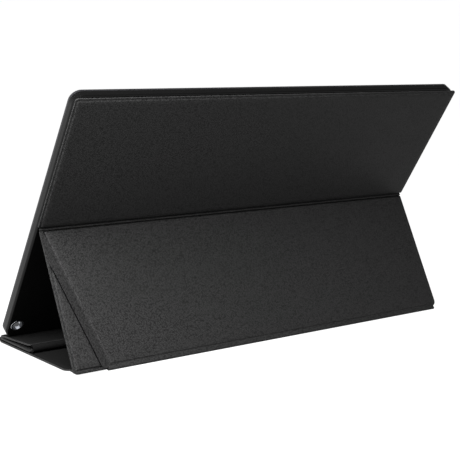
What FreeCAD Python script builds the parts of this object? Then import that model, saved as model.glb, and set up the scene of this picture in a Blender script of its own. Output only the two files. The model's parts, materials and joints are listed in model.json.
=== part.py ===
"""Portable monitor standing on its folded cover. Lengths in millimetres, angles in degrees.

X runs along the screen's width, Y from the screen's side to the back, Z up from the table.
The origin lies under the middle of the cover's floor panel, on the table.
"""
import FreeCAD
import Part
import math
import os

from FreeCAD import Placement, Rotation, Vector

# Monitor housing
monitor_depth = 8.0
monitor_corner_radius = 8.0
screen_lean = 34.8
shell_wall = 1.4
shell_back = 1.2
shell_edge_radius = 1.6
bezel_depth = 2.2
bezel_lip = 0.9
bezel_edge_radius = 0.7
rim_depth = 0.8
rim_wall = 0.9
rim_clearance = 0.1
boss_radius = 2.4
boss_pilot_radius = 0.6
boss_sides = 8
tray_boss_x_shares = (-0.4, 0.0, 0.4)
tray_boss_height_shares = (0.12, 0.88)
steel_plate_width = 250.0
steel_plate_height = 60.0
steel_plate_thickness = 0.5
plate_clearance = 0.3

# Screen, from the front glass to the metal tray
screen_width = 344.2
screen_height = 193.6
border_side = 7.9
border_top = 7.4
border_bottom = 25.4
cell_overlap = 2.2
cell_clearance = 0.15
cell_thickness = 1.1
sheets_thickness = 0.5
guide_thickness = 1.4
tray_thickness = 0.4
tray_wall = 0.5
tray_clearance = 0.1
led_strip_height = 1.2
led_gap = 0.2

# Boards behind the lower border
board_standoff = 1.0
board_thickness = 1.0
board_side_gap = 4.0
board_top_gap = 2.2
board_from_bottom = 4.0
main_board_width = 112.0
power_board_width = 34.0
board_hole_inset = 2.8
screw_radius = 0.8
screw_clearance = 0.1
screw_head_radius = 1.5
screw_head_height = 0.5
screw_length = 1.6
shield_height = 11.0
shield_depth = 1.3
shield_wall = 0.25
part_gap = 2.0
ribbon_thickness = 0.3
panel_ribbon_width = 24.0
panel_ribbon_reach = 14.0
panel_ribbon_seat = 5.0
button_ribbon_width = 4.0
button_ribbon_seat = 5.0

# Socket in the side wall
port_width = 8.94
port_height = 3.26
port_length = 7.4
port_wall = 0.35
port_clearance = 0.2
port_from_bottom = 12.5
tongue_width = 6.6
tongue_thickness = 0.7
tongue_length = 5.0

# Buttons and lamp in the lower border
button_length = 12.0
button_width = 3.2
button_clearance = 0.15
button_proud = 0.3
button_flange = 0.7
button_flange_depth = 0.6
button_flange_gap = 0.1
button_travel = 0.4
button_from_side = 40.0
button_from_bottom = 12.5
switch_side = 4.5
switch_height = 0.9
plunger_radius = 1.1
switch_play = 0.1
lens_radius = 0.9
lens_clearance = 0.1
lens_from_button = 11.0
lens_head = 0.5
lens_head_depth = 0.5

# Through hole for a pen
pen_hole_radius = 4.0
pen_sleeve_wall = 0.6
pen_flange_radius = 5.3
pen_flange_depth = 0.5
pen_flange_recess = 0.4
pen_clearance = 0.1
pen_from_side = 8.2
pen_from_bottom = 12.4
pen_collar_wall = 0.8
pen_trim_depth = 0.3

# Cover layers
skin_thickness = 0.6
lining_thickness = 0.5
upper_board_thickness = 1.8
prop_board_thickness = 1.2
floor_board_thickness = 1.2
flap_board_thickness = 0.6
panel_margin = 2.4
edge_margin = 1.2
relief_slope = 0.5
least_inner_radius = 0.8
stack_gap = 0.25
rest_gap = 0.15

# Cover panels, lengths from fold axis to fold axis
upper_panel_top_drop = 0.9
upper_panel_corner_radius = 4.0
fold_height = 112.5
prop_side_setback = 1.0
prop_shortfall = 4.9
fold_corner_radius = 1.0
prop_bottom_corner_radius = 6.0
crease_foot = 27.0
crease_start = 1.0
corner_hem = 1.2
corner_tip_radius = 1.2
corner_hem_radius = 2.5
spine_side_setback = 4.0
spine_length = 10.8
spine_margin = 1.0
spine_corner_radius = 1.5
floor_side_setback = 2.0
floor_length = 117.8
floor_rear_corner_radius = 7.0
floor_front_corner_radius = 3.0
flap_side_setback = 0.5
lower_flap_length = 57.8
upper_flap_length = 55.6
flap_corner_radius = 3.0
rear_bow = 2.35

# Soft bands at the folds
band_bead_radius = 0.75
bottom_bead_radius = 1.15
mid_fold_reach = 1.8
bottom_fold_reach = 1.8
spine_fold_reach = 2.0
front_fold_reach = 1.6
rear_fold_reach = 2.0
crease_reach = 1.5
crease_lift = 0.3
band_end_inset = 1.0
bottom_band_end_inset = 8.0

# Magnets in the upper panel
magnet_length = 18.0
magnet_width = 6.0
magnet_spacing = 30.0
magnet_columns = 7
magnet_rows = 2
magnet_row_spacing = 24.0
magnet_clearance = 0.1

cut_overrun = 1.0

# Depths through the monitor, from the rear face to the front
bezel_rear = monitor_depth - bezel_depth
cell_front = monitor_depth - bezel_lip
cell_rear = cell_front - cell_thickness
sheets_rear = cell_rear - sheets_thickness
guide_rear = sheets_rear - guide_thickness
tray_rear = guide_rear - tray_thickness
board_rear = shell_back + board_standoff
board_front = board_rear + board_thickness

# Housing round the picture, and edges of the glass up from the housing's lower edge
monitor_width = screen_width + 2 * border_side
monitor_height = border_bottom + screen_height + border_top
screen_bottom = border_bottom
screen_top = screen_bottom + screen_height
cell_top = screen_top + cell_overlap
cell_bottom = screen_bottom - cell_overlap
cell_half_width = screen_width / 2 + cell_overlap
cell_height = cell_top - cell_bottom
board_top = cell_bottom - board_top_gap
board_height = board_top - board_from_bottom
half_width = monitor_width / 2

# The prop folds back over the lower part of the monitor and ends short of its edge
prop_length = fold_height - prop_shortfall

# Half widths of the cover's panels, each drawn in from the one it meets
half_prop = half_width - prop_side_setback
half_spine = half_width - spine_side_setback
half_floor = half_width - floor_side_setback
half_flap = half_floor - flap_side_setback


def polar(radius, degrees):
    """Y and Z of a point at an angle in the side view."""
    angle = math.radians(degrees)
    return Vector(0, radius * math.cos(angle), radius * math.sin(angle))


def heading_frame(point, degrees):
    """Placement whose Y axis runs at an angle in the side view, from a point."""
    return Placement(point, Rotation(Vector(1, 0, 0), degrees))


def offset_corners(corners, distances):
    """Corners of a convex outline, counter-clockwise, with each side moved inwards by its own distance."""
    moved = []
    count = len(corners)
    for index in range(count):
        corner = corners[index]
        before = (corner - corners[index - 1]).normalize()
        after = (corners[(index + 1) % count] - corner).normalize()
        inward = Vector(-before.y, before.x, 0)
        turn = before.cross(after).z
        slide = (distances[index - 1] * before.dot(after) - distances[index]) / turn
        moved.append(corner + inward * distances[index - 1] + before * slide)
    return moved


def rounded_outline(corners, radii):
    """Closed wire through convex corners, each rounded by its own radius, or sharp at a radius of 0."""
    starts = []
    middles = []
    ends = []
    count = len(corners)
    for index in range(count):
        corner = corners[index]
        back = (corners[index - 1] - corner).normalize()
        ahead = (corners[(index + 1) % count] - corner).normalize()
        half_angle = back.getAngle(ahead) / 2
        tangent = radii[index] / math.tan(half_angle)
        bisector = (back + ahead).normalize()
        depth = radii[index] / math.sin(half_angle) - radii[index]
        starts.append(corner + back * tangent)
        middles.append(corner + bisector * depth)
        ends.append(corner + ahead * tangent)
    edges = []
    for index in range(count):
        if radii[index]:
            edges.append(Part.Arc(starts[index], middles[index], ends[index]).toShape())
        edges.append(Part.LineSegment(ends[index], starts[(index + 1) % count]).toShape())
    return Part.Wire(edges)


def even_inset(corners, radii, distance):
    """Rounded outline a set distance inside another."""
    inner_corners = offset_corners(corners, [distance] * len(corners))
    return rounded_outline(inner_corners, [radius - distance for radius in radii])


def rectangle(left, right, low, high):
    """Corners of a rectangle, counter-clockwise from its lower left."""
    return [Vector(left, low, 0), Vector(right, low, 0), Vector(right, high, 0), Vector(left, high, 0)]


def prism(wire, low, high):
    """Solid that carries an outline from one depth to another."""
    face = Part.Face(wire)
    face.translate(Vector(0, 0, low))
    return face.extrude(Vector(0, 0, high - low))


def block(left, right, bottom, top, low, high):
    """Plain box between two places on each axis."""
    return Part.makeBox(right - left, top - bottom, high - low, Vector(left, bottom, low))


def post(x, y, radius, low, high):
    """Upright round post."""
    return Part.makeCylinder(radius, high - low, Vector(x, y, low))


def boss(x, y, radius, low, high):
    """Upright post with flat sides, for the small repeated pieces inside the housing."""
    corners = []
    for side in range(boss_sides + 1):
        angle = 2 * math.pi * side / boss_sides
        corners.append(Vector(x + radius * math.cos(angle), y + radius * math.sin(angle), 0))
    return prism(Part.makePolygon(corners), low, high)


def pill(x, y, length, width):
    """Outline with round ends, its length along X."""
    half_length = (length - width) / 2
    radius = width / 2
    right_end = Vector(x + half_length, y, 0)
    left_end = Vector(x - half_length, y, 0)
    side = Vector(0, radius, 0)
    edges = [
        Part.LineSegment(left_end - side, right_end - side).toShape(),
        Part.Arc(right_end - side, right_end + Vector(radius, 0, 0), right_end + side).toShape(),
        Part.LineSegment(right_end + side, left_end + side).toShape(),
        Part.Arc(left_end + side, left_end - Vector(radius, 0, 0), left_end - side).toShape(),
    ]
    return Part.Wire(edges)


# Places in the side view, worked out from the table up

floor_middle = floor_board_thickness / 2 + skin_thickness
floor_inner = floor_middle + floor_board_thickness / 2 + lining_thickness
flap_lining_side = flap_board_thickness / 2 + lining_thickness
flap_skin_side = flap_board_thickness / 2 + skin_thickness
lower_flap_middle = floor_inner + stack_gap + flap_lining_side
front_fold_lift = (lower_flap_middle - floor_middle) / 2

spine_axis = Vector(0, floor_length / 2, floor_middle)
bottom_axis = spine_axis + Vector(0, spine_length, 0)
front_axis = Vector(0, -floor_length / 2, floor_middle + front_fold_lift)
rear_axis = front_axis + Vector(0, lower_flap_length, front_fold_lift + rear_bow)

flap_front_drop = 2 * rear_bow - 2 * flap_skin_side - stack_gap
flap_pitch = math.degrees(math.asin(flap_front_drop / upper_flap_length))
upper_flap_heading = 180 + flap_pitch
flap_forward = polar(1, upper_flap_heading)
flap_up = polar(1, 90 + flap_pitch)

# The monitor's rounded rear edge rests on the upper flap where the prop's length puts it
back_up = polar(1, 90 - screen_lean)
back_out = polar(1, -screen_lean)
upper_panel_middle = upper_board_thickness / 2 + lining_thickness
edge_to_fold = back_up * (fold_height - shell_edge_radius)
edge_to_fold += back_out * (upper_panel_middle + shell_edge_radius)
rest_rise = rear_bow + flap_lining_side + rest_gap + shell_edge_radius
flap_rear_rest = rear_axis + flap_up * rest_rise
reach_vector = flap_rear_rest + edge_to_fold - bottom_axis
along = reach_vector.dot(flap_forward)
across_squared = reach_vector.dot(reach_vector) - along ** 2
rest_run = math.sqrt(prop_length ** 2 - across_squared) - along
edge_center = flap_rear_rest + flap_forward * rest_run
mid_axis = edge_center + edge_to_fold
monitor_corner = edge_center + back_out * shell_edge_radius - back_up * shell_edge_radius
prop_vector = bottom_axis - mid_axis
prop_heading = math.degrees(math.atan2(prop_vector.z, prop_vector.y))
upper_heading = -90 - screen_lean

monitor_frame = heading_frame(monitor_corner, 90 - screen_lean)
upper_frame = heading_frame(mid_axis, upper_heading)
prop_frame = heading_frame(mid_axis, prop_heading)
spine_frame = heading_frame(bottom_axis, 180)
floor_frame = heading_frame(spine_axis, 180)
lower_flap_frame = heading_frame(front_axis + Vector(0, 0, front_fold_lift), 0)
upper_flap_frame = heading_frame(rear_axis + flap_up * rear_bow, upper_flap_heading)

nodes = {}


def add_node(name, solids, frame):
    """Keep one solid, or a group of separate solids, under a node's name."""
    group = solids if isinstance(solids, list) else [solids]
    placed = []
    for solid in group:
        copy = solid.copy()
        copy.Placement = frame.multiply(copy.Placement)
        placed.append(copy)
    nodes[name] = placed[0] if len(placed) == 1 else Part.makeCompound(placed)


# Housing outlines in the monitor's own frame: X across, Y up the back, Z towards the viewer

housing_corners = rectangle(-half_width, half_width, 0, monitor_height)
housing_radii = [monitor_corner_radius] * 4
pen_x = half_width - pen_from_side
pen_sleeve_radius = pen_hole_radius + pen_sleeve_wall
pen_seat_radius = pen_sleeve_radius + pen_clearance
pen_sleeve_rear = pen_flange_recess - pen_flange_depth
main_board_left = -half_width + board_side_gap
main_board_right = main_board_left + main_board_width
power_x = half_width - button_from_side
menu_x = -power_x
power_board_left = power_x - power_board_width / 2
power_board_right = power_x + power_board_width / 2
lens_x = power_x - lens_from_button
port_middle = shell_back + port_clearance + port_height / 2


def board_hole_places(left, right):
    """Screw places near the four corners of a board."""
    places = []
    for x in (left + board_hole_inset, right - board_hole_inset):
        for y in (board_from_bottom + board_hole_inset, board_top - board_hole_inset):
            places.append((x, y))
    return places


def main_board_holes():
    """The screws on the socket's side stand clear of it."""
    clear_left = main_board_left + port_length
    return board_hole_places(clear_left, main_board_right)


def screw_places():
    """All screws that hold the two boards."""
    return main_board_holes() + board_hole_places(power_board_left, power_board_right)


def tray_boss_places():
    """Posts that carry the screen's tray."""
    places = []
    for x_share in tray_boss_x_shares:
        for height_share in tray_boss_height_shares:
            places.append((x_share * screen_width, cell_bottom + height_share * cell_height))
    return places


def make_rear_shell():
    """Thin tray with a rounded rear edge, posts for the boards and a collar at the pen hole."""
    outline = rounded_outline(housing_corners, housing_radii)
    shell = prism(outline, 0, bezel_rear)
    shell = shell.makeFillet(shell_edge_radius, [edge for edge in shell.Edges if edge.BoundBox.ZMax <= 0])
    hollow = even_inset(housing_corners, housing_radii, shell_wall)
    shell = shell.cut(prism(hollow, shell_back, bezel_rear + cut_overrun))
    posts = [boss(x, y, boss_radius, shell_back, tray_rear) for x, y in tray_boss_places()]
    posts += [boss(x, y, boss_radius, shell_back, board_rear) for x, y in screw_places()]
    collar_radius = pen_seat_radius + pen_collar_wall
    posts.append(post(pen_x, pen_from_bottom, collar_radius, shell_back, bezel_rear))
    shell = shell.fuse(posts)
    holes = [boss(x, y, boss_pilot_radius, shell_back, board_front) for x, y in screw_places()]
    holes.append(post(pen_x, pen_from_bottom, pen_seat_radius, -cut_overrun, bezel_rear + cut_overrun))
    flange_seat_radius = pen_flange_radius + pen_clearance
    holes.append(post(pen_x, pen_from_bottom, flange_seat_radius, -cut_overrun, pen_flange_recess))
    slot = prism(pill(0, 0, port_width + 2 * port_clearance, port_height + 2 * port_clearance),
                 -cut_overrun, shell_wall + cut_overrun)
    slot.Placement = Placement(Vector(-half_width, port_from_bottom, port_middle),
                               Rotation(Vector(0, 1, 0), Vector(0, 0, 1), Vector(1, 0, 0), "XYZ"))
    holes.append(slot)
    return shell.cut(holes).removeSplitter()


def make_front_bezel():
    """Front frame with the screen's window, button holes and a rim inside the shell's wall."""
    outline = rounded_outline(housing_corners, housing_radii)
    bezel = prism(outline, bezel_rear, monitor_depth)
    front_edges = [edge for edge in bezel.Edges if edge.BoundBox.ZMin >= monitor_depth - bezel_edge_radius]
    bezel = bezel.makeFillet(bezel_edge_radius, front_edges)
    rim_inset = shell_wall + rim_clearance
    rim_rear = bezel_rear - rim_depth
    rim = prism(even_inset(housing_corners, housing_radii, rim_inset), rim_rear, bezel_rear)
    rim = rim.cut(prism(even_inset(housing_corners, housing_radii, rim_inset + rim_wall),
                        rim_rear - cut_overrun, bezel_rear + cut_overrun))
    bezel = bezel.fuse(rim)
    side = cell_half_width + cell_clearance
    cuts = [
        block(-screen_width / 2, screen_width / 2, screen_bottom, screen_top,
              bezel_rear, monitor_depth + cut_overrun),
        block(-side, side, cell_bottom - cell_clearance, cell_top + cell_clearance, rim_rear, cell_front),
        post(pen_x, pen_from_bottom, pen_seat_radius, rim_rear - cut_overrun, monitor_depth + cut_overrun),
        post(lens_x, button_from_bottom, lens_radius + lens_clearance, bezel_rear - cut_overrun,
             monitor_depth + cut_overrun),
    ]
    for x in (power_x, menu_x):
        hole = pill(x, button_from_bottom,
                    button_length + 2 * button_clearance, button_width + 2 * button_clearance)
        cuts.append(prism(hole, bezel_rear - cut_overrun, monitor_depth + cut_overrun))
    return bezel.cut(cuts).removeSplitter()


def make_screen():
    """Glass, films, light guide, lamps and tray, each lying on the next."""
    cell = block(-cell_half_width, cell_half_width, cell_bottom, cell_top, cell_rear, cell_front)
    add_node("lcd_cell", cell, monitor_frame)
    inner_half = cell_half_width - tray_wall - tray_clearance
    inner_bottom = cell_bottom + tray_wall + tray_clearance
    inner_top = cell_top - tray_wall - tray_clearance
    sheets = block(-inner_half, inner_half, inner_bottom, inner_top, sheets_rear, cell_rear)
    add_node("optical_sheets", sheets, monitor_frame)
    guide_bottom = inner_bottom + led_strip_height + led_gap
    guide = block(-inner_half, inner_half, guide_bottom, inner_top, guide_rear, sheets_rear)
    add_node("light_guide", guide, monitor_frame)
    strip_top = inner_bottom + led_strip_height
    strip = block(-inner_half, inner_half, inner_bottom, strip_top, guide_rear, sheets_rear)
    add_node("led_strip", strip, monitor_frame)
    tray = block(-cell_half_width, cell_half_width, cell_bottom, cell_top, tray_rear, cell_rear)
    tray = tray.cut(block(-cell_half_width + tray_wall, cell_half_width - tray_wall,
                          cell_bottom + tray_wall, cell_top - tray_wall,
                          guide_rear, cell_rear + cut_overrun))
    add_node("panel_tray", tray, monitor_frame)
    plate_middle = fold_height + (monitor_height - fold_height) / 2
    plate = block(-steel_plate_width / 2, steel_plate_width / 2, plate_middle - steel_plate_height / 2,
                  plate_middle + steel_plate_height / 2, shell_back, shell_back + steel_plate_thickness)
    for x, y in tray_boss_places():
        plate = plate.cut(boss(x, y, boss_radius + plate_clearance, 0, tray_rear))
    add_node("steel_plate", plate, monitor_frame)


def make_boards():
    """Circuit boards on their posts, with screws, shield and flat cables."""
    main_board = block(main_board_left, main_board_right, board_from_bottom, board_top,
                       board_rear, board_front)
    port_half = port_width / 2 + port_clearance
    port_right = -half_width + port_length + port_clearance
    main_board = main_board.cut(block(-half_width, port_right, port_from_bottom - port_half,
                                      port_from_bottom + port_half, board_rear - cut_overrun,
                                      board_front + cut_overrun))
    hole_radius = screw_radius + screw_clearance
    hole_low = board_rear - cut_overrun
    hole_high = board_front + cut_overrun
    for x, y in main_board_holes():
        main_board = main_board.cut(boss(x, y, hole_radius, hole_low, hole_high))
    add_node("main_board", main_board, monitor_frame)

    power_board = block(power_board_left, power_board_right, board_from_bottom, board_top,
                        board_rear, board_front)
    for x, y in board_hole_places(power_board_left, power_board_right):
        power_board = power_board.cut(boss(x, y, hole_radius, hole_low, hole_high))
    add_node("power_board", power_board, monitor_frame)

    screws = []
    for x, y in screw_places():
        head = boss(x, y, screw_head_radius, board_front, board_front + screw_head_height)
        shank = boss(x, y, boss_pilot_radius, board_front - screw_length, board_front)
        screws.append(head.fuse(shank).removeSplitter())
    add_node("board_screws", screws, monitor_frame)

    ribbon_right = main_board_right - button_ribbon_seat - part_gap
    ribbon_left = ribbon_right - panel_ribbon_width
    shield_left = menu_x + switch_side / 2 + part_gap
    shield_right = ribbon_left - part_gap
    shield_bottom = board_from_bottom + (board_height - shield_height) / 2
    shield = block(shield_left, shield_right, shield_bottom, shield_bottom + shield_height,
                   board_front, board_front + shield_depth)
    shield = shield.cut(block(shield_left + shield_wall, shield_right - shield_wall,
                              shield_bottom + shield_wall, shield_bottom + shield_height - shield_wall,
                              board_front - cut_overrun, board_front + shield_depth - shield_wall))
    add_node("board_shield", shield, monitor_frame)

    ribbon_seat = board_top - panel_ribbon_seat
    seat_top = board_front + ribbon_thickness
    tray_side = tray_rear - ribbon_thickness
    riser_low = min(board_front, tray_side)
    riser_high = max(seat_top, tray_rear)
    gap_middle = (board_top + cell_bottom) / 2
    ribbon = block(ribbon_left, ribbon_right, ribbon_seat, gap_middle, board_front, seat_top)
    ribbon = ribbon.fuse([
        block(ribbon_left, ribbon_right, gap_middle - ribbon_thickness, gap_middle, riser_low, riser_high),
        block(ribbon_left, ribbon_right, gap_middle - ribbon_thickness, cell_bottom + panel_ribbon_reach,
              tray_side, tray_rear),
    ])
    add_node("panel_ribbon", ribbon.removeSplitter(), monitor_frame)

    ribbon_middle = board_from_bottom + board_height / 2
    half_ribbon = button_ribbon_width / 2
    button_ribbon = block(main_board_right - button_ribbon_seat, power_board_left + button_ribbon_seat,
                          ribbon_middle - half_ribbon, ribbon_middle + half_ribbon, board_front, seat_top)
    add_node("button_ribbon", button_ribbon, monitor_frame)


def make_port():
    """Round-ended metal socket with its tongue, mouth flush with the side wall."""
    body = prism(pill(0, 0, port_width, port_height), 0, port_length)
    inside = pill(0, 0, port_width - 2 * port_wall, port_height - 2 * port_wall)
    body = body.cut(prism(inside, -cut_overrun, port_length - port_wall))
    tongue = block(-tongue_width / 2, tongue_width / 2, -tongue_thickness / 2, tongue_thickness / 2,
                   port_length - tongue_length, port_length - port_wall)
    port = body.fuse(tongue).removeSplitter()
    port.Placement = Placement(Vector(-half_width, port_from_bottom, port_middle),
                               Rotation(Vector(0, 1, 0), Vector(0, 0, 1), Vector(1, 0, 0), "XYZ"))
    add_node("usb_c_port", port, monitor_frame)


def make_button(name, x):
    """Pill button held behind the bezel by a flange, with its switch on the board below."""
    flange_front = bezel_rear - button_flange_gap
    flange_rear = flange_front - button_flange_depth
    outline = pill(x, button_from_bottom, button_length, button_width)
    button = prism(outline, flange_rear, monitor_depth + button_proud)
    flange = pill(x, button_from_bottom,
                  button_length + 2 * button_flange, button_width + 2 * button_flange)
    button = button.fuse(prism(flange, flange_rear, flange_front)).removeSplitter()
    top_edges = [edge for edge in button.Edges if edge.BoundBox.ZMin > monitor_depth]
    button = button.makeChamfer(button_proud / 2, top_edges)
    add_node(name + "_button", button, monitor_frame)

    half_side = switch_side / 2
    switch_top = board_front + switch_height
    switch = block(x - half_side, x + half_side,
                   button_from_bottom - half_side, button_from_bottom + half_side, board_front, switch_top)
    plunger_top = flange_rear - button_travel - switch_play
    switch = switch.fuse(post(x, button_from_bottom, plunger_radius, board_front, plunger_top))
    add_node(name + "_switch", switch.removeSplitter(), monitor_frame)


def make_lamp():
    """Light pipe beside the power button, with a head behind the bezel."""
    head_rear = bezel_rear - lens_head_depth
    lens = post(lens_x, button_from_bottom, lens_radius, head_rear, monitor_depth)
    head = post(lens_x, button_from_bottom, lens_radius + lens_head, head_rear, bezel_rear)
    add_node("power_led_lens", lens.fuse(head).removeSplitter(), monitor_frame)


def make_pen_hole():
    """Metal sleeve with a flange let into the back, and a trim ring on the front."""
    front = monitor_depth + pen_trim_depth
    sleeve_points = [
        Vector(pen_hole_radius, 0, pen_sleeve_rear),
        Vector(pen_flange_radius + pen_sleeve_rear, 0, pen_sleeve_rear),
        Vector(pen_flange_radius, 0, 0),
        Vector(pen_flange_radius, 0, pen_flange_recess),
        Vector(pen_sleeve_radius, 0, pen_flange_recess),
        Vector(pen_sleeve_radius, 0, front),
        Vector(pen_hole_radius, 0, front),
        Vector(pen_hole_radius, 0, pen_sleeve_rear),
    ]
    sleeve = Part.Face(Part.makePolygon(sleeve_points)).revolve(Vector(0, 0, 0), Vector(0, 0, 1), 360)
    trim_points = [
        Vector(pen_seat_radius, 0, monitor_depth),
        Vector(pen_flange_radius, 0, monitor_depth),
        Vector(pen_flange_radius - pen_trim_depth, 0, front),
        Vector(pen_seat_radius, 0, front),
        Vector(pen_seat_radius, 0, monitor_depth),
    ]
    trim = Part.Face(Part.makePolygon(trim_points)).revolve(Vector(0, 0, 0), Vector(0, 0, 1), 360)
    for name, solid in (("pen_sleeve", sleeve), ("pen_trim", trim)):
        solid.translate(Vector(pen_x, pen_from_bottom, 0))
        add_node(name, solid, monitor_frame)


def inset_outline(corners, radii, margins, distance):
    """Outline inside a panel's margins, each side moved in by its own margin and a shared distance."""
    inner_radii = []
    for index, radius in enumerate(radii):
        inner = radius - max(margins[index - 1], margins[index])
        inner_radii.append(inner if inner > least_inner_radius else 0)
    return rounded_outline(offset_corners(corners, [margin + distance for margin in margins]), inner_radii)


def make_layer(corners, radii, margins, half_board, thickness):
    """One outer layer of a panel: flat at the margins, raised over the board, hollow behind it."""
    raised = half_board + thickness
    slope = half_board * relief_slope
    layer = prism(rounded_outline(corners, radii), 0, thickness)
    foot = inset_outline(corners, radii, margins, 0)
    crown = inset_outline(corners, radii, margins, slope)
    foot.translate(Vector(0, 0, thickness))
    crown.translate(Vector(0, 0, raised))
    relief = Part.makeLoft([foot, crown], True, True)
    pocket = prism(inset_outline(corners, radii, margins, skin_thickness), -cut_overrun, half_board)
    return layer.fuse(relief).cut(pocket).removeSplitter()


def make_panel(name, corners, radii, margins, board_depth, frame, board_holes=()):
    """Skin, board and lining of one stiff panel, the skin on the +Z side of its frame."""
    half_board = board_depth / 2
    add_node(name + "_skin", make_layer(corners, radii, margins, half_board, skin_thickness), frame)
    lining = make_layer(corners, radii, margins, half_board, lining_thickness)
    add_node(name + "_lining", lining.mirror(Vector(0, 0, 0), Vector(0, 0, 1)), frame)
    board = prism(inset_outline(corners, radii, margins, skin_thickness), -half_board, half_board)
    if board_holes:
        board = board.cut(board_holes)
    add_node(name + "_board", board, frame)


def make_band(name, left, right, before, turn, lift, reach, bead_radius):
    """Soft band at a fold: a tab on each panel and the bend between them, round about the axis."""
    half_band = (skin_thickness + lining_thickness) / 2
    low = -lift - half_band
    high = -lift + half_band
    tab_before = block(left, right, -reach, 0, low, high)
    tab_after = block(left, right, 0, reach, low, high)
    tab_after.rotate(Vector(0, 0, 0), Vector(1, 0, 0), turn)
    if lift:
        section = Part.makePolygon([Vector(left, 0, low), Vector(right, 0, low), Vector(right, 0, high),
                                    Vector(left, 0, high), Vector(left, 0, low)])
        bend = Part.Face(section).revolve(Vector(0, 0, 0), Vector(1, 0, 0), turn)
    else:
        bend = Part.makeCylinder(bead_radius, right - left, Vector(left, 0, 0), Vector(1, 0, 0))
    add_node(name, tab_before.fuse([tab_after, bend]).removeSplitter(), before)


def magnet_blocks(row_middle, clearance, half_depth):
    """Rows of bar magnets, or the room for them, about the panel's middle."""
    half_length = magnet_length / 2 + clearance
    half_bar = magnet_width / 2 + clearance
    blocks = []
    for column in range(magnet_columns):
        x = (column - (magnet_columns - 1) / 2) * magnet_spacing
        for row in range(magnet_rows):
            y = row_middle + (row - (magnet_rows - 1) / 2) * magnet_row_spacing
            blocks.append(block(x - half_length, x + half_length, y - half_bar, y + half_bar,
                                -half_depth, half_depth))
    return blocks


def make_upper_panel():
    """Panel on the upper half of the monitor's back, held there by magnets."""
    panel_low = mid_fold_reach
    panel_high = monitor_height - upper_panel_top_drop - fold_height
    corners = rectangle(-half_width, half_width, -panel_high, -panel_low)
    radii = [upper_panel_corner_radius] * 2 + [fold_corner_radius] * 2
    margins = [edge_margin] * len(corners)
    panel_middle = -(panel_low + panel_high) / 2
    half_board = upper_board_thickness / 2
    holes = magnet_blocks(panel_middle, magnet_clearance, upper_board_thickness)
    make_panel("upper", corners, radii, margins, upper_board_thickness, upper_frame, holes)
    add_node("cover_magnets", magnet_blocks(panel_middle, 0, half_board), upper_frame)


prop_end = prop_length - bottom_fold_reach
crease_slope = crease_foot / (prop_end - mid_fold_reach)
crease_angle = math.degrees(math.atan(crease_slope))
crease_side = crease_reach / math.cos(math.radians(crease_angle))


def crease_x(y):
    """Place of the diagonal crease across the prop, at a distance below the mid fold."""
    return half_prop + crease_start - crease_slope * (y - mid_fold_reach)


def make_prop():
    """Panel from the mid fold down to the table, cut along the diagonal crease."""
    left = -half_prop
    corners = [
        Vector(left, mid_fold_reach, 0),
        Vector(crease_x(mid_fold_reach) - crease_side, mid_fold_reach, 0),
        Vector(crease_x(prop_end) - crease_side, prop_end, 0),
        Vector(left, prop_end, 0),
    ]
    radii = [fold_corner_radius, fold_corner_radius, corner_tip_radius, prop_bottom_corner_radius]
    margins = [edge_margin, panel_margin, edge_margin, edge_margin]
    make_panel("prop", corners, radii, margins, prop_board_thickness, prop_frame)


def make_corner():
    """Triangle past the diagonal crease, its hem reaching down towards the table."""
    right = half_prop
    hem_end = prop_end + corner_hem
    tip = mid_fold_reach + (crease_start + crease_side) / crease_slope
    corners = [
        Vector(right, tip, 0),
        Vector(right, hem_end, 0),
        Vector(crease_x(hem_end) + crease_side, hem_end, 0),
    ]
    radii = [corner_tip_radius, corner_hem_radius, corner_tip_radius]
    margins = [panel_margin] * len(corners)
    make_panel("corner", corners, radii, margins, prop_board_thickness, prop_frame)


def make_crease_band():
    """Soft band along the diagonal, trimmed to the prop's outline."""
    half_band = (skin_thickness + lining_thickness) / 2
    length = prop_length / math.cos(math.radians(crease_angle))
    band = block(-crease_reach, crease_reach, 0, length, -half_band, half_band)
    bead = Part.makeCylinder(band_bead_radius, length, Vector(0, 0, crease_lift), Vector(0, 1, 0))
    band = band.fuse(bead)
    band.rotate(Vector(0, 0, 0), Vector(0, 0, 1), crease_angle)
    band.translate(Vector(crease_x(mid_fold_reach), mid_fold_reach, 0))
    outline = rectangle(-half_prop, half_prop, mid_fold_reach, prop_end)
    radii = [fold_corner_radius] * len(outline)
    bead_top = crease_lift + band_bead_radius
    trimmed = band.common(prism(rounded_outline(outline, radii), -bead_top, bead_top))
    add_node("corner_fold", trimmed.removeSplitter(), prop_frame)


def make_front_cover():
    """Spine, floor panel and the two flaps folded back and forth on it."""
    corners = rectangle(-half_spine, half_spine, bottom_fold_reach, spine_length - spine_fold_reach)
    radii = [spine_corner_radius] * len(corners)
    margins = [spine_margin] * len(corners)
    make_panel("spine", corners, radii, margins, floor_board_thickness, spine_frame)

    corners = rectangle(-half_floor, half_floor, spine_fold_reach, floor_length - front_fold_reach)
    radii = [floor_rear_corner_radius] * 2 + [floor_front_corner_radius] * 2
    margins = [panel_margin] * len(corners)
    make_panel("floor", corners, radii, margins, floor_board_thickness, floor_frame)

    radii = [flap_corner_radius] * len(corners)
    corners = rectangle(-half_flap, half_flap, front_fold_reach, lower_flap_length - rear_fold_reach)
    make_panel("lower_flap", corners, radii, margins, flap_board_thickness, lower_flap_frame)

    corners = rectangle(-half_flap, half_flap, rear_fold_reach, upper_flap_length)
    make_panel("upper_flap", corners, radii, margins, flap_board_thickness, upper_flap_frame)


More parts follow.
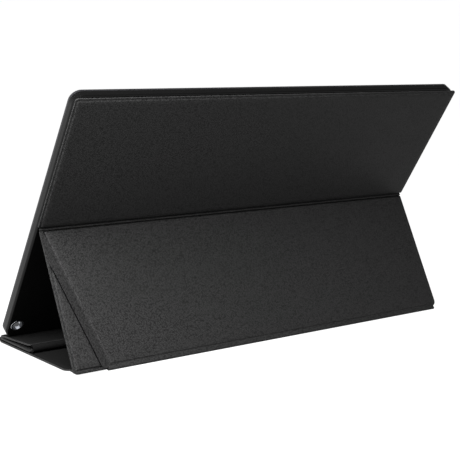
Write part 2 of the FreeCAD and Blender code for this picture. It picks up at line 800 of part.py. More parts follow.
def make_bands():
    """The bands at the five straight folds and along the crease."""
    mid_end = half_prop - band_end_inset
    make_band("mid_fold", -mid_end, mid_end, upper_frame, prop_heading - upper_heading,
              0, mid_fold_reach, band_bead_radius)
    bottom_frame = heading_frame(bottom_axis, prop_heading)
    bottom_left = -half_prop + bottom_band_end_inset
    bottom_right = crease_x(prop_end + corner_hem) - band_bead_radius
    make_band("bottom_fold", bottom_left, bottom_right, bottom_frame, -180 - prop_heading,
              0, bottom_fold_reach, bottom_bead_radius)
    spine_end = half_spine - band_end_inset
    make_band("spine_fold", -spine_end, spine_end, heading_frame(spine_axis, 180), 0,
              0, spine_fold_reach, band_bead_radius)
    flap_end = half_flap - band_end_inset
    make_band("front_fold", -flap_end, flap_end, heading_frame(front_axis, 180), -180,
              -front_fold_lift, front_fold_reach, band_bead_radius)
    make_band("rear_fold", -flap_end, flap_end, heading_frame(rear_axis, 0), upper_flap_heading,
              rear_bow, rear_fold_reach, band_bead_radius)
    make_crease_band()


add_node("rear_shell", make_rear_shell(), monitor_frame)
add_node("front_bezel", make_front_bezel(), monitor_frame)
make_screen()
make_boards()
make_port()
make_button("power", power_x)
make_button("menu", menu_x)
make_lamp()
make_pen_hole()
make_upper_panel()
make_prop()
make_corner()
make_front_cover()
make_bands()

os.makedirs("parts", exist_ok=True)
for node_name, node_shape in nodes.items():
    node_shape.exportStep("parts/" + node_name + ".step")
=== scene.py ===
"""Portable monitor standing on its folded cover: soft cover pieces, finishes and studio."""
import json
import math

import bmesh
import bpy
from bpy.props import FloatProperty, FloatVectorProperty, IntProperty, PointerProperty
from mathutils import Matrix, Vector


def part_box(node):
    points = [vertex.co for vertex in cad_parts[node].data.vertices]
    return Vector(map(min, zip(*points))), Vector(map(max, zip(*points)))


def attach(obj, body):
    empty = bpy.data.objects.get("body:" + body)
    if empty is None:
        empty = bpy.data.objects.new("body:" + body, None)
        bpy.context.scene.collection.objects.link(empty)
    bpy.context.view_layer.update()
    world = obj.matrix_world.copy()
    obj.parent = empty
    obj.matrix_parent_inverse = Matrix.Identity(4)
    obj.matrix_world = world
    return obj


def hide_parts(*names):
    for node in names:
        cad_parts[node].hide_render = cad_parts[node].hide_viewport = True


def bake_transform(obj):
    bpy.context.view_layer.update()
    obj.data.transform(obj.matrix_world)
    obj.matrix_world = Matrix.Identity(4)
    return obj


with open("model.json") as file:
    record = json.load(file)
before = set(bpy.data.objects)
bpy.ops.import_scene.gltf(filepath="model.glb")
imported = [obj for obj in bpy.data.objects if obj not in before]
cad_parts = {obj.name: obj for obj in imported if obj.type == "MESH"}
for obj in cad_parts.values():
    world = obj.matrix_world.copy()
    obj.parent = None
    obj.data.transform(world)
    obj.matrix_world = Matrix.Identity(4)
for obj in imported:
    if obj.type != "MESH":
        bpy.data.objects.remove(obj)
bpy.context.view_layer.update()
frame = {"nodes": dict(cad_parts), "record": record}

bl_info = {
    "name": "Portable monitor with cover",
    "version": (1, 0, 0),
    "blender": (4, 5, 0),
    "location": "3D View > Sidebar > Monitor",
    "description": "Dresses the packed monitor with its leather cover, finishes and studio",
    "category": "Object",
}

MM = 0.001
WELD = 0.001 * MM  # points of a swept fold that are closer than this are one point
GRAIN_DEPTH = 0.05 * MM  # depth of a solid finish's grain at full relief
SHARP_ANGLE = math.radians(38)  # faces that meet at more than this show an edge
NOISE_LOW, NOISE_HIGH = 0.3, 0.7  # most of a noise texture lies between these
WHITE = (1.0, 1.0, 1.0, 1.0)
FLOOR_HALF = 6.0  # half the width of the light table, and how far it comes forward, in metres
FLOOR_BACK, FLOOR_BEND, FLOOR_RISE = -3.0, 1.5, 4.0  # where it curves up, that curve's radius, its height
FLOOR_STEPS = 12
FIBRE = 25 * MM  # size of the patches in the light table's paper
FIBRE_SHADE = 0.985
PAINTED_SHADE = "pressed"  # painted shade: how much darker the leather is painted where it is pressed into a line, from 0 to 1
PANELS = ("upper", "prop", "corner", "spine", "floor", "lower_flap", "upper_flap")

# Place of each hinge or slide at rest
AXIS = {
    joint["name"]: Vector(joint["pos_m"])
    for joint in frame["record"]["behaviour"]["joints"]
    if "pos_m" in joint
}
# Body that carries each CAD node
BODY_OF = {
    node: body
    for body, nodes in frame["record"]["behaviour"]["bodies"].items()
    for node in nodes
}

# Finishes of the rigid pieces, with a comment on what each real material gives the eye. The tint is one of
# FinishColours, the grain is in millimetres, and relief and spread say how much depth and colour vary.
FINISHES = {
    # Sprayed paint: near black, with a low sheen and the slight orange peel of a thin coat
    "painted_shell": dict(
        pieces=["rear_shell"], tint="shell", grain=0.5, relief=0.1, spread=0.1,
        shader={"Roughness": 0.3, "IOR": 1.5, "Specular IOR Level": 0.12}),
    # Spark-eroded plastic: dull black. Its grain of about 0.1 mm is drawn coarser
    "abs_fine_texture": dict(
        pieces=["front_bezel"], tint="bezel", grain=0.6, relief=0.3, spread=0.12,
        shader={"Roughness": 0.48, "IOR": 1.53, "Specular IOR Level": 0.3}),
    # Coated screen: even black that mirrors softly. Its grain is finer than the faint clouds drawn here
    "screen_glass_matt": dict(
        pieces=["lcd_cell"], tint="glass", grain=2.0, relief=0.02, spread=0.12,
        shader={"Roughness": 0.22, "IOR": 1.52, "Coat Weight": 0.3, "Coat Roughness": 0.15}),
    # Bright chrome: mirrors the room, with the faint waves that polishing leaves
    "chromed_steel": dict(
        pieces=["pen_sleeve", "pen_trim"], tint="chrome", grain=1.5, relief=0.02, spread=0.02,
        shader={"Metallic": 1.0, "Roughness": 0.09}),
    # Satin plastic: dark with a soft sheen. Its grain of about 0.1 mm is drawn coarser
    "abs_satin": dict(
        pieces=["power_button", "menu_button", "power_switch", "menu_switch"], tint="button",
        grain=0.7, relief=0.15, spread=0.12, shader={"Roughness": 0.4, "IOR": 1.53}),
    # Milky plastic: pale and a little cloudy
    "milky_polycarbonate": dict(
        pieces=["power_led_lens"], tint="lens", grain=1.0, relief=0.05, spread=0.12,
        shader={"Roughness": 0.25, "IOR": 1.58}),
    # Greyboard: matt grey, flecked with pressed fibres
    "pressed_greyboard": dict(
        pieces=[name + "_board" for name in PANELS], tint="greyboard", grain=1.2, relief=0.4, spread=0.25,
        shader={"Roughness": 0.85}),
    # Rolled steel: grey, streaked along the rolling. Its streaks of about 0.1 mm are drawn coarser
    "rolled_steel": dict(
        pieces=["steel_plate", "board_shield"], tint="steel", grain=0.6, relief=0.15, spread=0.1,
        stretch=(0.1, 1, 1), shader={"Metallic": 1.0, "Roughness": 0.35}),
    # Pressed aluminium: pale satin metal
    "pressed_aluminium": dict(
        pieces=["panel_tray"], tint="tray", grain=0.8, relief=0.1, spread=0.08,
        shader={"Metallic": 1.0, "Roughness": 0.38}),
    # Diffuser film: even, milky white
    "diffuser_film": dict(
        pieces=["optical_sheets"], tint="film", grain=3.0, relief=0.05, spread=0.03,
        shader={"Roughness": 0.5, "IOR": 1.57}),
    # Acrylic: glossy and pale, drawn solid because only white film lies behind it
    "acrylic_guide": dict(
        pieces=["light_guide"], tint="acrylic", grain=2.0, relief=0.03, spread=0.04,
        shader={"Roughness": 0.1, "IOR": 1.49}),
    # Lacquered strip: warm white
    "lamp_strip_white": dict(
        pieces=["led_strip"], tint="strip", grain=1.0, relief=0.1, spread=0.06,
        shader={"Roughness": 0.5}),
    # Solder mask: glossy green lacquer, uneven over the copper tracks beneath
    "solder_mask": dict(
        pieces=["main_board", "power_board"], tint="mask", grain=1.4, relief=0.25, spread=0.3,
        shader={"Roughness": 0.32, "IOR": 1.55}),
    # Polyimide: amber film with a smooth shine
    "polyimide_film": dict(
        pieces=["panel_ribbon", "button_ribbon"], tint="ribbon", grain=0.9, relief=0.1, spread=0.1,
        shader={"Roughness": 0.3, "IOR": 1.6}),
    # Nickel plate: warm grey metal, slightly dulled
    "nickel_plate": dict(
        pieces=["usb_c_port", "cover_magnets"], tint="nickel", grain=0.7, relief=0.08, spread=0.12,
        shader={"Metallic": 1.0, "Roughness": 0.24}),
    # Blackened steel: dark, dull metal
    "blackened_steel": dict(
        pieces=["board_screws"], tint="screws", grain=0.5, relief=0.15, spread=0.12,
        shader={"Metallic": 1.0, "Roughness": 0.4}),
}


def linear(hex_colour):
    """Linear RGBA of an sRGB hex colour."""
    channels = []
    for start in (0, 2, 4):
        value = int(hex_colour[start:start + 2], 16) / 255
        channels.append(value / 12.92 if value <= 0.04045 else ((value + 0.055) / 1.055) ** 2.4)
    return (*channels, 1.0)


def length(name, description, millimetres):
    """Property for a size, kept in metres."""
    return FloatProperty(name=name, description=description, default=millimetres * MM,
                         precision=5, subtype="DISTANCE", unit="LENGTH")


def colour(name, description, hex_colour):
    """Property for a colour, given as sRGB hex."""
    return FloatVectorProperty(name=name, description=description, default=linear(hex_colour),
                               size=4, min=0, max=1, subtype="COLOR")


def amount(name, description, value):
    """Property for a plain strength or share."""
    return FloatProperty(name=name, description=description, default=value, min=0)


def number(name, description, steps):
    """Property for a number of steps."""
    return IntProperty(name=name, description=description, default=steps, min=3, max=64)


def bearing(name, description, degrees):
    """Property for an angle, given in degrees."""
    return FloatProperty(name=name, description=description, default=math.radians(degrees),
                         precision=4, subtype="ANGLE", unit="ROTATION")


def position(name, description, metres):
    """Property for a place in the part's frame."""
    return FloatVectorProperty(name=name, description=description, default=metres,
                               precision=4, subtype="TRANSLATION", unit="LENGTH")


class CoverSizes(bpy.types.PropertyGroup):
    """Sizes of the soft cover."""

    skin: length("Skin", "Thickness of the outer leather", 0.6)
    lining: length("Lining", "Thickness of the inner lining", 0.5)
    edge_margin: length("Edge margin", "Flat border at the stand's outer edges", 1.2)
    fold_margin: length("Fold margin", "Flat border beside the mid fold", 0.3)
    corner_margin: length("Corner margin", "Flat border round the triangle", 2.0)
    panel_margin: length("Panel margin", "Flat border of the floor panels and of the prop's diagonal", 2.4)
    spine_margin: length("Spine margin", "Flat border of the narrow spine", 1.0)
    shoulder: length("Shoulder", "Width of the slope from the border up to the board", 1.0)
    crown: length("Crown", "Ring of flat leather kept inside the shoulder", 3.0)
    edge_round: length("Edge rounding", "Radius of the leather at a panel's edge", 0.3)
    least_round: length("Least rounding", "Smallest radius at an inner corner", 0.65)
    sharp_round: length("Sharp rounding", "Radius at a sharp corner of the outline", 0.02)
    upper_corner: length("Upper corner", "Corner radius at the monitor's top edge", 2.2)
    fold_corner: length("Fold corner", "Corner radius beside the mid fold", 1.0)
    prop_corner: length("Prop corner", "Corner radius at the table", 4.5)
    tip_corner: length("Tip corner", "Corner radius at the foot of the diagonal", 1.2)
    hem_corner: length("Hem corner", "Corner radius of the triangle at the table", 2.5)
    spine_corner: length("Spine corner", "Corner radius of the spine", 1.5)
    floor_corner: length("Floor corner", "Corner radius of the floor panel at the spine", 7.0)
    flap_corner: length("Flap corner", "Corner radius of the flaps", 3.0)
    crease_start: length("Crease start", "How far outside the edge the diagonal meets the mid fold", 1.0)
    crease_foot: length("Crease foot", "How far in the diagonal has come at the table", 27.0)
    crease_reach: length("Crease reach", "Half the gap between the panels along the diagonal", 1.5)
    crease_lap: length("Crease lap", "How far the leather of the diagonal laps over each side", 1.2)
    # Painted shade: share of the crease colour painted along the whole diagonal fold
    crease_shade_amount: amount("Crease press", "How much the leather along the diagonal is pressed", 0.25)
    groove: length("Groove", "Depth of the line pressed round the triangle", 0.4)
    groove_floor: amount("Groove floor", "Share of a border, from its edge, where the floor ends", 0.8)
    groove_rise: amount("Groove rise", "Share of a border, from its edge, where it is level again", 0.62)
    # Painted shade: how far down a shoulder the painted dark line starts, the same for the upper panel, and
    # how far the upper panel's painted line reaches
    shade_start: amount("Press start", "How far down a shoulder its pressed line starts", 0.6)
    upper_shade_start: amount("Upper press", "How far down the upper panel's shoulder its line starts", 0.3)
    upper_line: amount("Upper line", "Reach of the upper panel's line, in shoulders", 1.2)
    triangle_round: length("Triangle rounding", "Corner radius of the triangle's raised face", 0.1)
    lip_round: length("Lip rounding", "Radius of the leather's edge, turned round the lining", 0.1)
    turned_edge: amount("Turned edge", "Share of a border that the leather covers inside", 0.5)
    lap: length("Lap", "How far a fold's leather laps over the panels' borders", 0.65)
    lap_rise: length("Lap rise", "Thickness of the lapped leather", 0.08)
    bulge: length("Bulge", "How far the leather swells out in the mid fold", 0.15)
    upper_gap: length("Upper gap", "Dark line between the upper panel and the mid fold", 1.0)
    prop_gap: length("Prop gap", "Dark line between the prop and the mid fold", 0.6)
    web: length("Web", "Depth of the leather in those lines", 0.1)
    roll: length("Roll", "Radius of the leather roll at the table", 1.13)
    roll_reach: length("Roll reach", "How far the roll runs out at the far end", 4.2)
    roll_inset: length("Roll inset", "From the prop's far side to the roll's slanted end", 1.0)
    seam_gap: length("Seam gap", "Room between a fold and a panel's edge", 0.05)
    end_inset: length("End inset", "How far a fold's ends stay inside the panels' sides", 0.4)
    spacing: length("Spacing", "Distance between points along a straight side", 9.0)
    corner_steps: number("Corner steps", "Steps round each panel corner", 8)
    bend_steps: number("Bend steps", "Steps round each fold", 16)
    shoulder_steps: number("Shoulder steps", "Steps down each shoulder", 6)
    edge_steps: number("Edge steps", "Steps round each panel's edge", 4)


class FinishColours(bpy.types.PropertyGroup):
    """Colours of the finishes."""

    leather: colour("Leather", "Embossed leather of the cover", "1a1a1a")
    leather_pit: colour("Leather pits", "Leather in the hollows of its grain", "0c0c0c")
    # Painted shade: near-black colour painted into the pressed lines and the gaps beside the folds, where
    # shade falls
    crease: colour("Crease", "Leather burnished in a pressed line", "020202")
    lining: colour("Lining", "Microfibre inside the cover", "080808")
    shell: colour("Shell", "Painted rear shell", "030303")
    bezel: colour("Bezel", "Moulded front frame", "0c0c0d")
    glass: colour("Glass", "Screen that is switched off", "050506")
    chrome: colour("Chrome", "Plated ring of the pen hole", "d2d4d8")
    button: colour("Buttons", "Buttons and switches", "1d1d20")
    lens: colour("Light", "Status light", "b9bcc0")
    greyboard: colour("Greyboard", "Boards inside the cover", "8f8a80")
    steel: colour("Steel", "Plate and shield", "9a9ca0")
    tray: colour("Tray", "Aluminium tray of the screen", "b4b6ba")
    film: colour("Film", "Sheets behind the screen", "e6e6e2")
    acrylic: colour("Acrylic", "Guide that spreads the light", "d5dde0")
    strip: colour("Strip", "Strip of small lamps", "e8e2cc")
    mask: colour("Solder mask", "Circuit boards", "173b26")
    ribbon: colour("Ribbon", "Flat cables", "c9b58a")
    nickel: colour("Nickel", "Socket and magnets", "b9b6ae")
    screws: colour("Screws", "Blackened screws", "4a4a4d")


class StudioSettings(bpy.types.PropertyGroup):
    """Floor, lights and camera."""

    floor: colour("Floor", "Body of the light table", "3a3a3a")
    glow: amount("Glow", "Light that comes through the table", 0.98)
    walls: amount("Walls", "Light from the walls all round", 1.0)
    ceiling: amount("Ceiling", "Light from the dim ceiling", 0.12)
    wall_top: amount("Wall top", "Height of a direction where the walls start to dim", 0.12)
    ceiling_start: amount("Ceiling start", "Height of a direction where the ceiling is reached", 0.52)
    key: FloatProperty(name="Key light", description="Power of the soft light above the near end",
                       default=43, min=0, unit="POWER")
    key_width: length("Key width", "Width of that light", 600)
    key_place: position("Key place", "Where that light hangs", (0.42, 0.2, 0.45))
    key_aim: position("Key aim", "Where that light points to", (0.05, 0.05, 0.05))
    camera_place: position("Camera place", "Where the camera stands", (0.5104, 0.7140, 0.2000))
    azimuth: bearing("Azimuth", "Camera's side, turned from +Y towards the near end", 35.856)
    elevation: bearing("Elevation", "How far the camera looks down", 7.859)
    roll: bearing("Roll", "Turn of the camera about its own axis", -0.712)
    lens: amount("Lens", "Focal length of the camera in millimetres", 83.65)


def link(tree, node, links):
    """Link sockets into a node's inputs."""
    for key, socket in links.items():
        tree.links.new(socket, node.inputs[key])


def add_node(tree, kind, settings=None, links=None):
    """Add a node, set its properties and inputs, and link sockets into it."""
    node = tree.nodes.new(kind)
    for key, value in (settings or {}).items():
        if isinstance(key, str) and hasattr(node, key):
            setattr(node, key, value)
        else:
            node.inputs[key].default_value = value
    link(tree, node, links or {})
    return node


def start_material(name, settings):
    """Start a material, or start it afresh, with a principled shader set to plain values."""
    material = bpy.data.materials.get(name) or bpy.data.materials.new(name)
    material.use_nodes = True
    tree = material.node_tree
    tree.nodes.clear()
    shader = add_node(tree, "ShaderNodeBsdfPrincipled", settings)
    add_node(tree, "ShaderNodeOutputMaterial", None, {"Surface": shader.outputs["BSDF"]})
    place = add_node(tree, "ShaderNodeTexCoord").outputs["Object"]
    return tree, shader, place


def shaded(tint, share):
    """A colour made darker or lighter by a share."""
    return tuple(min(1.0, share * channel) for channel in tint[:3]) + (1.0,)


def mix_colours(tree, factor, low, high, start=0.0, end=1.0):
    """Colour that runs from low to high while a factor runs from start to end."""
    ramp = add_node(tree, "ShaderNodeValToRGB", None, {"Fac": factor})
    first, last = ramp.color_ramp.elements
    first.position, last.position = start, end
    first.color, last.color = low, high
    return ramp.outputs["Color"]


def leather_material(colours):
    """Polyurethane leather, embossed with a fine pebble grain: soft sheen broken up by shallow pits.

    The real pebbles are about 0.6 mm wide, and are drawn at 1.0 mm so that they show.
    """
    pebble_size, fine_size, cloud_size = 1.0 * MM, 0.45 * MM, 28 * MM
    fine_share = 0.35  # height of the fine grain beside the pebbles'
    tree, shader, place = start_material("polyurethane_leather", {"Specular IOR Level": 0.07})
    pebble = add_node(tree, "ShaderNodeTexVoronoi",
                      {"feature": "SMOOTH_F1", "Scale": 1 / pebble_size, "Smoothness": 0.5},
                      {"Vector": place})
    fine = add_node(tree, "ShaderNodeTexNoise", {"Scale": 1 / fine_size, "Detail": 2}, {"Vector": place})
    cloud = add_node(tree, "ShaderNodeTexNoise", {"Scale": 1 / cloud_size, "Detail": 3}, {"Vector": place})
    height = add_node(tree, "ShaderNodeMath", {"operation": "MULTIPLY_ADD", 1: fine_share},
                      {0: fine.outputs["Fac"], 2: pebble.outputs["Distance"]})
    tint = mix_colours(tree, pebble.outputs["Distance"], tuple(colours.leather), tuple(colours.leather_pit),
                       start=0.15, end=0.75)
    # Painted shade: where the pressed-line attribute is set, the leather's colour is mixed towards the
    # near-black crease colour
    pressed = add_node(tree, "ShaderNodeAttribute", {"attribute_name": PAINTED_SHADE})
    shade_darkened = add_node(tree, "ShaderNodeMix", {"data_type": "RGBA", 7: tuple(colours.crease)},
                         {0: pressed.outputs["Fac"], 6: tint})
    gloss = add_node(tree, "ShaderNodeMapRange",
                     {"From Min": NOISE_LOW, "From Max": NOISE_HIGH, "To Min": 0.48, "To Max": 0.53},
                     {"Value": cloud.outputs["Fac"]})
    bump = add_node(tree, "ShaderNodeBump", {"invert": True, "Strength": 0.42, "Distance": 0.14 * MM},
                    {"Height": height.outputs["Value"]})
    link(tree, shader, {"Base Color": shade_darkened.outputs[2], "Roughness": gloss.outputs["Result"],
                        "Normal": bump.outputs["Normal"]})


def lining_material(colours):
    """Brushed microfibre: deep matt black, its short nap seen as fine unevenness.

    The real nap is about 0.2 mm, and is drawn at 0.8 mm so that it shows.
    """
    nap_size, shade = 0.8 * MM, 0.6
    tree, shader, place = start_material("microfibre_lining", {"IOR": 1.0, "Roughness": 0.95})
    nap = add_node(tree, "ShaderNodeTexNoise", {"Scale": 1 / nap_size, "Detail": 4}, {"Vector": place})
    tint = mix_colours(tree, nap.outputs["Fac"], shaded(colours.lining, shade), tuple(colours.lining))
    bump = add_node(tree, "ShaderNodeBump", {"Strength": 0.4, "Distance": 0.15 * MM},
                    {"Height": nap.outputs["Fac"]})
    link(tree, shader, {"Base Color": tint, "Normal": bump.outputs["Normal"]})


def grainy_material(name, finish, colours):
    """Solid finish whose colour, gloss and relief vary with a grain of a real size."""
    smoother, rougher = 0.9, 1.12  # gloss at the two ends of the grain, as shares of the roughness
    tree, shader, place = start_material(name, finish["shader"])
    stretched = add_node(tree, "ShaderNodeMapping", {"Scale": finish.get("stretch", (1, 1, 1))},
                         {"Vector": place})
    grain = add_node(tree, "ShaderNodeTexNoise", {"Scale": 1 / (finish["grain"] * MM), "Detail": 3},
                     {"Vector": stretched.outputs["Vector"]})
    tint, spread = getattr(colours, finish["tint"]), finish["spread"]
    mixed = mix_colours(tree, grain.outputs["Fac"], shaded(tint, 1 - spread), shaded(tint, 1 + spread))
    rough = finish["shader"]["Roughness"]
    gloss = add_node(tree, "ShaderNodeMapRange",
                     {"From Min": NOISE_LOW, "From Max": NOISE_HIGH,
                      "To Min": smoother * rough, "To Max": rougher * rough},
                     {"Value": grain.outputs["Fac"]})
    bump = add_node(tree, "ShaderNodeBump", {"Strength": finish["relief"], "Distance": GRAIN_DEPTH},
                    {"Height": grain.outputs["Fac"]})
    link(tree, shader, {"Base Color": mixed, "Roughness": gloss.outputs["Result"],
                        "Normal": bump.outputs["Normal"]})


def dress(names, material):
    """Give CAD pieces a finish."""
    for name in names:
        piece = frame["nodes"][name]
        if piece.material_slots:
            for slot in piece.material_slots:
                slot.material = material
        else:
            piece.data.materials.append(material)


def points_in(matrix, node):
    """Points of a CAD piece in a panel's frame."""
    inverse = matrix.inverted()
    return [inverse @ vertex.co for vertex in frame["nodes"][node].data.vertices]


def middle_of(node):
    """Middle of a CAD piece's box."""
    low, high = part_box(node)
    return (low + high) / 2


def read_panel(name):
    """Frame and extent of a panel: X across, Z out of its skin, height zero in the middle of its board."""
    board = frame["nodes"][name + "_board"].data
    out = max(board.polygons, key=lambda face: face.area).normal.copy()
    if out.dot(middle_of(name + "_skin") - middle_of(name + "_board")) < 0:
        out.negate()
    across = Vector((1, 0, 0))
    matrix = Matrix((across, out.cross(across), out)).transposed().to_4x4()
    heights = [point.z for point in points_in(matrix, name + "_board")]
    matrix.translation = out * (min(heights) + max(heights)) / 2
    points = points_in(matrix, name + "_skin")
    return {
        "frame": matrix,
        "out": out,
        "body": BODY_OF[name + "_board"],
        "half_board": (max(heights) - min(heights)) / 2,
        "left": min(point.x for point in points),
        "right": max(point.x for point in points),
        "low": min(point.y for point in points),
        "high": max(point.y for point in points),
    }


def rectangle(panel):
    """Corners of a panel, counter-clockwise from its low left."""
    left, right, low, high = (panel[key] for key in ("left", "right", "low", "high"))
    return [Vector((left, low)), Vector((right, low)), Vector((right, high)), Vector((left, high))]


def crease_line(sizes, prop, corner):
    """Where the diagonal crease starts at the mid fold, its way down, and the way across it."""
    top = Vector((corner["right"] + sizes.crease_start, prop["low"]))
    down = Vector((-sizes.crease_foot, prop["high"] - prop["low"])).normalized()
    return top, down, Vector((down.y, -down.x))


def offset_corners(corners, distances):
    """Corners of a convex outline with each side moved inwards by its own distance."""
    moved = []
    for index, corner in enumerate(corners):
        before = (corner - corners[index - 1]).normalized()
        after = (corners[(index + 1) % len(corners)] - corner).normalized()
        inward = Vector((-before.y, before.x))
        turn = before.x * after.y - before.y * after.x
        slide = (distances[index - 1] * before.dot(after) - distances[index]) / turn
        moved.append(corner + inward * distances[index - 1] + before * slide)
    return moved


def cover_panels(sizes):
    """Every stiff panel with its outline, corner radii and margins, side by side in the same order.

    A panel with a pressed line, painted darker as shade, also has the way across the line, how far that way
    it reaches, where along the panel it starts and how far down the shoulder its painted shade starts.
    """
    panels = {name: read_panel(name) for name in PANELS}
    for panel in panels.values():
        panel.update(
            corners=rectangle(panel), radii=[sizes.flap_corner] * 4, margins=[sizes.panel_margin] * 4,
            least_round=sizes.least_round, groove=0, line=None, line_start=panel["low"],
            pressed_from=sizes.shade_start)
    upper = panels["upper"]
    upper.update(
        radii=[sizes.upper_corner] * 2 + [sizes.fold_corner] * 2,
        margins=[sizes.edge_margin, sizes.edge_margin, sizes.fold_margin, sizes.edge_margin],
        line=sizes.fold_margin + sizes.upper_line * sizes.shoulder - upper["high"],
        across=Vector((0, -1)), pressed_from=sizes.upper_shade_start)
    panels["spine"].update(radii=[sizes.spine_corner] * 4, margins=[sizes.spine_margin] * 4)
    panels["floor"].update(radii=[sizes.floor_corner] * 2 + [sizes.flap_corner] * 2)

    prop, corner = panels["prop"], panels["corner"]
    top, down, across = crease_line(sizes, prop, corner)

    def edge_x(height, side):
        """Place of one side of the crease's gap at a height of the panel."""
        place = top + across * side * sizes.crease_reach
        return place.x + down.x / down.y * (height - place.y)

    prop["corners"][1].x = edge_x(prop["low"], -1)
    prop["corners"][2].x = edge_x(prop["high"], -1)
    prop.update(
        radii=[sizes.fold_corner, sizes.fold_corner, sizes.tip_corner, sizes.prop_corner],
        margins=[sizes.fold_margin, sizes.panel_margin, sizes.edge_margin, sizes.edge_margin],
        line=prop["low"] + sizes.fold_margin + sizes.shoulder, across=Vector((0, 1)))
    tip = prop["low"] + (edge_x(prop["low"], 1) - corner["right"]) * down.y / -down.x
    corner.update(
        corners=[Vector((corner["right"], tip)), Vector((corner["right"], corner["high"])),
                 Vector((edge_x(corner["high"], 1), corner["high"]))],
        radii=[sizes.sharp_round, sizes.hem_corner, sizes.tip_corner],
        margins=[sizes.corner_margin] * 3, least_round=sizes.triangle_round, groove=sizes.groove,
        line=top.dot(across) + sizes.crease_reach + sizes.corner_margin + sizes.shoulder, across=across)
    corner["line_start"] = offset_corners(corner["corners"], corner["margins"])[0].y
    return panels


def rounded_ring(panel, share, extra, sizes):
    """Points of a panel's outline, moved in by a share of its margins and an extra.

    All rings of a panel have the same number of points.
    """
    corners, radii = panel["corners"], panel["radii"]
    insets = [share * margin + extra for margin in panel["margins"]]
    inner = offset_corners(corners, insets)
    arcs = []
    for index, corner in enumerate(inner):
        inset = max(insets[index - 1], insets[index])
        radius = max(radii[index] - inset, min(panel["least_round"], sizes.sharp_round + inset))
        back = (inner[index - 1] - corner).normalized()
        ahead = (inner[(index + 1) % len(inner)] - corner).normalized()
        half = back.angle(ahead) / 2
        centre = corner + (back + ahead).normalized() * (radius / math.sin(half))
        begin = corner + back * (radius / math.tan(half)) - centre
        arc = []
        for step in range(sizes.corner_steps + 1):
            angle = (math.pi - 2 * half) * step / sizes.corner_steps
            arc.append(centre + Matrix.Rotation(angle, 2) @ begin)
        arcs.append(arc)
    points = []
    for index, arc in enumerate(arcs):
        points.extend(arc)
        following = (index + 1) % len(arcs)
        count = max(2, round((corners[following] - corners[index]).length / sizes.spacing))
        for step in range(1, count):
            points.append(arc[-1].lerp(arcs[following][0], step / count))
    return points


def layer_profile(sizes, panel, side):
    """Rings of a layer from its crown over the shoulder, border and rounded edge to its underside.

    The leather's edge is turned round the lining's. Each ring is a share of the margins, an extra inset, a
    height and how much painted shade darkens the leather there, in the groove and low on the shoulder.
    """
    thickness, edge = (sizes.skin, 0) if side > 0 else (sizes.lining, sizes.turned_edge)
    half_board, groove = panel["half_board"], panel["groove"]
    crown = sizes.shoulder + sizes.crown
    rings = [(1, crown, half_board + thickness, 0)]
    for step in range(sizes.shoulder_steps + 1):
        share = step / sizes.shoulder_steps
        fall = share * share * (3 - 2 * share)  # level at both ends of the slope
        height = half_board + thickness - (half_board + groove) * fall
        # low on the slope the leather gets painted shade
        rings.append((1, sizes.shoulder * (1 - share), height, share > panel["pressed_from"]))
    # the groove's floor gets full painted shade
    rings.append((edge + sizes.groove_floor * (1 - edge), 0, thickness - groove, 1))
    rings.append((edge + sizes.groove_rise * (1 - edge), 0, thickness, 0))
    for step in range(sizes.edge_steps + 1):
        angle = math.pi / 2 * step / sizes.edge_steps
        rings.append((edge, sizes.edge_round * (1 - math.sin(angle)) * (1 - edge),
                      thickness - sizes.edge_round * (1 - math.cos(angle)), 0))
    if side > 0:
        rings += [(0, 0, sizes.lip_round - sizes.lining, 0), (0, sizes.lip_round, -sizes.lining, 0),
                  (sizes.turned_edge, -sizes.seam_gap, -sizes.lining, 0),
                  (sizes.turned_edge, -sizes.seam_gap, 0, 0)]
    else:
        rings.append((edge, 0, 0, 0))
    rings += [(1, sizes.skin - sizes.seam_gap, 0, 0), (1, sizes.skin, half_board, 0),
              (1, crown, half_board, 0)]
    return rings


def mesh_piece(name, mesh, material):
    """Object for a finished mesh, smooth but for its sharp edges."""
    mesh.name = name
    mesh.shade_smooth()
    mesh.set_sharp_from_angle(angle=SHARP_ANGLE)
    piece = bpy.data.objects.new(name, mesh)
    bpy.context.scene.collection.objects.link(piece)
    mesh.materials.clear()
    mesh.materials.append(material)
    return piece


def finished_mesh(made, name):
    """Mesh of a bmesh whose faces point outwards."""
    bmesh.ops.recalc_face_normals(made, faces=made.faces)
    mesh = bpy.data.meshes.new(name)
    made.to_mesh(mesh)
    made.free()
    return mesh


def layer_piece(name, panel, side, sizes, material):
    """Leather or lining of one panel, a closed layer with its raised board showing through."""
    made = bmesh.new()
    mark = made.verts.layers.float.new(PAINTED_SHADE)
    rings = []
    for share, extra, height, pressed in layer_profile(sizes, panel, side):
        ring = []
        for point in rounded_ring(panel, share, extra, sizes):
            vertex = made.verts.new(panel["frame"] @ Vector((point.x, point.y, side * height)))
            # points inside a panel's line carry its painted shade
            in_line = panel["line"] is not None and point.dot(panel["across"]) < panel["line"]
            if in_line and point.y >= panel["line_start"]:
                vertex[mark] = pressed
            ring.append(vertex)
        rings.append(ring)
    for inner, outer in zip(rings, rings[1:]):
        for index in range(len(inner)):
            made.faces.new((inner[index - 1], outer[index - 1], outer[index], inner[index]))
    made.faces.new(rings[0])
    made.faces.new(rings[-1][::-1])
    return mesh_piece(name, finished_mesh(made, name), material)


